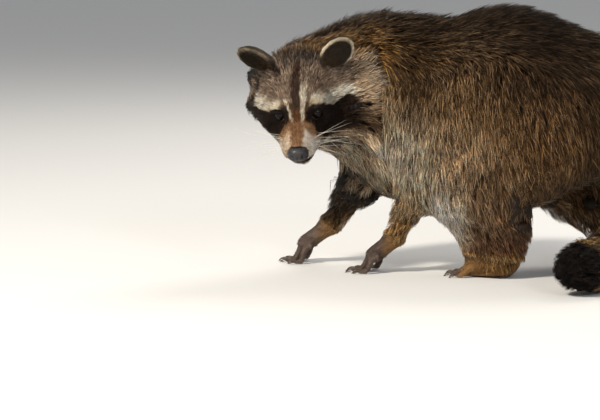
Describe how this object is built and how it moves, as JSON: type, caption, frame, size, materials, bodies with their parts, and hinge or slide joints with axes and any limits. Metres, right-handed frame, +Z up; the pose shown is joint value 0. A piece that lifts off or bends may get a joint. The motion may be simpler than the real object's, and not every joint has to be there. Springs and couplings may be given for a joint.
{
  "type": "raccoon",
  "caption": "Standing raccoon with an arched back, its head turned to its left and its ringed tail laid on the floor.",
  "frame": {"origin": "on the floor under the middle of the whole animal's box", "axes": "+X towards the rump and the tail, -X towards the chest, -Y to the animal's left, where its face points, +Z up"},
  "size_m": [0.4308, 0.2914, 0.2754],
  "materials": {
    "coat": "dense grizzled brown-grey fur with pale tips, cream and dark face markings and a ringed tail",
    "paw": "short brown-grey fur over bare dark toes, with dark claws",
    "nose": "moist black skin with fine pebbling",
    "eye": "wet, very dark brown"
  },
  "bodies": {
    "root": {"trunk": "coat", "neck": "coat", "head": "coat", "muzzle": "coat", "lower_jaw": "coat", "nose": "nose", "eye_left": "eye", "eye_right": "eye", "ear_left": "coat", "ear_right": "coat", "fore_left_upper_leg": "coat", "fore_left_lower_leg": "coat", "fore_left_paw": "paw", "fore_right_upper_leg": "coat", "fore_right_lower_leg": "coat", "fore_right_paw": "paw", "hind_left_upper_leg": "coat", "hind_left_lower_leg": "coat", "hind_left_paw": "paw", "hind_right_upper_leg": "coat", "hind_right_lower_leg": "coat", "hind_right_paw": "paw", "tail_1": "coat", "tail_2": "coat", "tail_3": "coat", "tail_4": "coat", "tail_5": "coat"}
  },
  "joints": []
}
